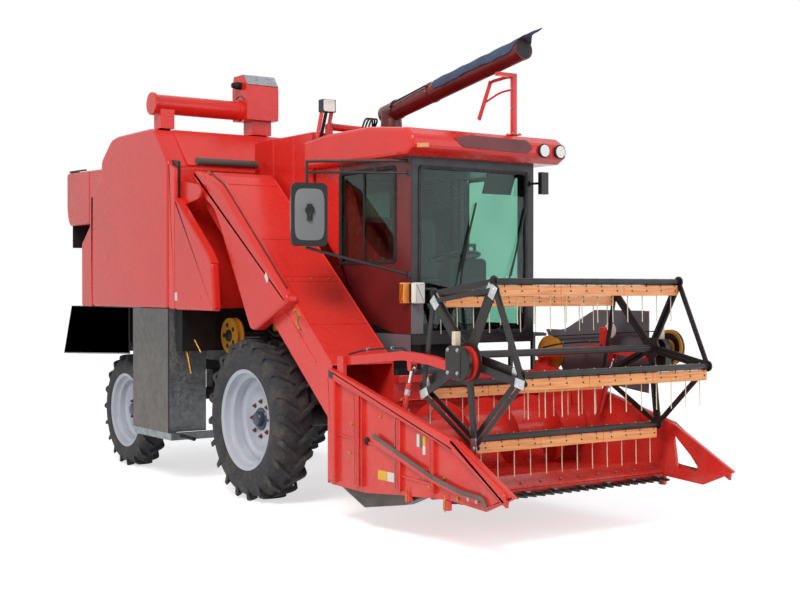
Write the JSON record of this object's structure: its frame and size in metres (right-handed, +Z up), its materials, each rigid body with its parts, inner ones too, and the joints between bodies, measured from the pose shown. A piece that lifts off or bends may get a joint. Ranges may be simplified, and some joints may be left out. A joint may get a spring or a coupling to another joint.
{
  "type": "self-propelled combine harvester",
  "caption": "Red self-propelled grain combine harvester with a cab, a slanted feeder trough, a reel header, a high unloading auger and rear-wheel steering.",
  "frame": {"origin": "on the ground, below the middle of the overall length and width", "axes": "+Z up, -Y the direction of travel, +X the machine's left"},
  "size_m": [2.3, 6.89, 3.6],
  "materials": {
    "red_enamel": "gloss enamel on sheet steel",
    "black_steel": "black paint",
    "tyre": "agricultural tread rubber",
    "rim_silver": "silver paint",
    "galvanised": "galvanised",
    "dark_panel": "dark grey paint",
    "amber": "amber yellow paint",
    "cast_black": "dark cast iron",
    "glass": "green tinted",
    "rubber": "matt rubber sheet",
    "bat_wood": "varnished board",
    "knife_steel": "dark steel",
    "chrome_rod": "hard chrome",
    "canvas": "slate blue canvas",
    "vinyl": "black vinyl",
    "mirror_shell": "grey moulded plastic",
    "lamp": "clear and amber lenses",
    "tube_red": "dark red paint"
  },
  "bodies": {
    "machine": {"cab_frame": "red_enamel", "cab_glass": "glass", "cab_roof": "red_enamel", "cabinet_panels": "dark_panel", "chassis_frame": "black_steel", "corner_covers": "red_enamel", "drive_axle": "cast_black", "elevator_tube": "red_enamel", "engine": "cast_black", "grain_tank": "red_enamel", "lamps": "lamp", "mirrors": "mirror_shell", "rubber_flaps": "rubber", "seat": "vinyl", "side_cabinets": "galvanised", "side_covers": "red_enamel", "steer_axle": "cast_black", "steering_column": "black_steel", "straw_hood": "red_enamel", "thresher_body": "red_enamel", "unloader_supports": "red_enamel", "walkway": "black_steel"},
    "front_wheel_left": {"front_tyre_left": "tyre", "front_rim_left": "rim_silver"},
    "front_wheel_right": {"front_tyre_right": "tyre", "front_rim_right": "rim_silver"},
    "rear_wheel_left": {"rear_tyre_left": "tyre", "rear_rim_left": "rim_silver"},
    "rear_wheel_right": {"rear_tyre_right": "tyre", "rear_rim_right": "rim_silver"},
    "steer_knuckle_left": {"knuckle_left": "cast_black"},
    "steer_knuckle_right": {"knuckle_right": "cast_black"},
    "header": {"feeder_trough": "red_enamel", "belt_guard": "red_enamel", "header_pan": "red_enamel", "header_sides": "red_enamel", "skids": "black_steel", "finger_bar": "black_steel"},
    "sickle": {"knife": "knife_steel"},
    "cross_auger": {"header_auger": "red_enamel"},
    "reel_lift_arms": {"reel_arms": "red_enamel"},
    "reel": {"reel_frame": "black_steel"},
    "bat_1": {"reel_bat_1": "bat_wood"},
    "bat_2": {"reel_bat_2": "bat_wood"},
    "bat_3": {"reel_bat_3": "bat_wood"},
    "bat_4": {"reel_bat_4": "bat_wood"},
    "bat_5": {"reel_bat_5": "bat_wood"},
    "eccentric": {"reel_eccentric": "black_steel"},
    "reel_cylinder": {"reel_barrels": "black_steel"},
    "reel_piston": {"reel_rods": "chrome_rod"},
    "lift_cylinder": {"lift_barrels": "black_steel"},
    "lift_piston": {"lift_rods": "chrome_rod"},
    "belt_pulley": {"drive_pulley": "amber"},
    "reel_jack": {"jack_pulley": "amber"},
    "side_door": {"cab_door": "black_steel", "door_glass": "glass"},
    "unloader": {"unloader_tube": "tube_red", "canvas_spout": "canvas"}
  },
  "joints": [
    {"name": "front_wheel_left_spin", "type": "hinge", "parent": "machine", "child": "front_wheel_left", "pos_m": [0.898, -0.235, 0.632], "axis": [1, 0, 0], "continuous": true},
    {"name": "front_wheel_right_spin", "type": "hinge", "parent": "machine", "child": "front_wheel_right", "pos_m": [-0.898, -0.235, 0.632], "axis": [1, 0, 0], "continuous": true},
    {"name": "steer_left", "type": "hinge", "parent": "machine", "child": "steer_knuckle_left", "pos_m": [0.7, 2.207, 0.642], "axis": [0, 0, 1], "range_deg": [-28, 28]},
    {"name": "rear_wheel_left_spin", "type": "hinge", "parent": "steer_knuckle_left", "child": "rear_wheel_left", "pos_m": [0.888, 2.207, 0.522], "axis": [1, 0, 0], "continuous": true},
    {"name": "steer_right", "type": "hinge", "parent": "machine", "child": "steer_knuckle_right", "pos_m": [-0.7, 2.207, 0.642], "axis": [0, 0, 1], "range_deg": [-28, 28]},
    {"name": "rear_wheel_right_spin", "type": "hinge", "parent": "steer_knuckle_right", "child": "rear_wheel_right", "pos_m": [-0.888, 2.207, 0.522], "axis": [1, 0, 0], "continuous": true},
    {"name": "header_lift", "type": "hinge", "parent": "machine", "child": "header", "pos_m": [0, 0.4782, 2.46388], "axis": [-1, 0, 0], "range_deg": [-3.2, 10]},
    {"name": "lift_cylinder_swing", "type": "hinge", "parent": "machine", "child": "lift_cylinder", "pos_m": [-0.515, -0.195, 0.78], "axis": [-1, 0, 0], "range_deg": [-30, 30]},
    {"name": "lift_cylinder_stroke", "type": "slide", "parent": "lift_cylinder", "child": "lift_piston", "axis": [0, -0.7557, 0.6549], "range_m": [-0.2, 0.5]},
    {"name": "reel_lift", "type": "hinge", "parent": "header", "child": "reel_lift_arms", "pos_m": [0, -1.525, 1.15], "axis": [-1, 0, 0], "range_deg": [-1, 11]},
    {"name": "reel_cylinder_swing", "type": "hinge", "parent": "header", "child": "reel_cylinder", "pos_m": [0, -2.195, 0.74], "axis": [-1, 0, 0], "range_deg": [-20, 20]},
    {"name": "reel_cylinder_stroke", "type": "slide", "parent": "reel_cylinder", "child": "reel_piston", "axis": [0, -0.3048, 0.9524], "range_m": [-0.1, 0.25]},
    {"name": "reel_turn", "type": "hinge", "parent": "reel_lift_arms", "child": "reel", "pos_m": [0, -2.805, 1.245], "axis": [1, 0, 0], "continuous": true},
    {"name": "bat_1_pivot", "type": "hinge", "parent": "reel", "child": "bat_1", "pos_m": [0, -2.44354, 1.63262], "axis": [1, 0, 0], "continuous": true},
    {"name": "bat_2_pivot", "type": "hinge", "parent": "reel", "child": "bat_2", "pos_m": [0, -3.06195, 1.70855], "axis": [1, 0, 0], "continuous": true},
    {"name": "bat_3_pivot", "type": "hinge", "parent": "reel", "child": "bat_3", "pos_m": [0, -3.32526, 1.14387], "axis": [1, 0, 0], "continuous": true},
    {"name": "bat_4_pivot", "type": "hinge", "parent": "reel", "child": "bat_4", "pos_m": [0, -2.86959, 0.71895], "axis": [1, 0, 0], "continuous": true},
    {"name": "bat_5_pivot", "type": "hinge", "parent": "reel", "child": "bat_5", "pos_m": [0, -2.32466, 1.02101], "axis": [1, 0, 0], "continuous": true},
    {"name": "eccentric_turn", "type": "hinge", "parent": "reel_lift_arms", "child": "eccentric", "pos_m": [-0.905, -2.86, 1.195], "axis": [1, 0, 0], "continuous": true},
    {"name": "reel_jack_turn", "type": "hinge", "parent": "header", "child": "reel_jack", "pos_m": [1.004, -1.525, 1.15], "axis": [1, 0, 0], "continuous": true},
    {"name": "cross_auger_turn", "type": "hinge", "parent": "header", "child": "cross_auger", "pos_m": [0, -1.875, 0.62], "axis": [1, 0, 0], "continuous": true},
    {"name": "sickle_stroke", "type": "slide", "parent": "header", "child": "sickle", "axis": [1, 0, 0], "range_m": [-0.038, 0.038]},
    {"name": "belt_pulley_turn", "type": "hinge", "parent": "machine", "child": "belt_pulley", "pos_m": [-0.7, 0.607, 1.262], "axis": [1, 0, 0], "continuous": true},
    {"name": "door_swing", "type": "hinge", "parent": "machine", "child": "side_door", "pos_m": [0.857, -0.592, 1.6], "axis": [0, 0, 1], "range_deg": [0, 85]},
    {"name": "unloader_swing", "type": "hinge", "parent": "machine", "child": "unloader", "pos_m": [0.5, -0.035, 3], "axis": [0, 0, 1], "range_deg": [0, 110]}
  ],
  "couplings": [
    {"joint": "steer_left", "follows": "steer_right", "ratio": 1},
    {"joint": "lift_cylinder_swing", "follows": "header_lift", "ratio": 0.19954},
    {"joint": "lift_cylinder_stroke", "follows": "header_lift", "m_per_rad": 1.7064},
    {"joint": "reel_cylinder_swing", "follows": "reel_lift", "ratio": 0.54485},
    {"joint": "reel_cylinder_stroke", "follows": "reel_lift", "m_per_rad": 0.75483},
    {"joint": "eccentric_turn", "follows": "reel_turn", "ratio": 1},
    {"joint": "reel_jack_turn", "follows": "reel_turn", "ratio": 0.88889},
    {"joint": "bat_1_pivot", "follows": "reel_turn", "ratio": -1},
    {"joint": "bat_2_pivot", "follows": "reel_turn", "ratio": -1},
    {"joint": "bat_3_pivot", "follows": "reel_turn", "ratio": -1},
    {"joint": "bat_4_pivot", "follows": "reel_turn", "ratio": -1},
    {"joint": "bat_5_pivot", "follows": "reel_turn", "ratio": -1}
  ]
}
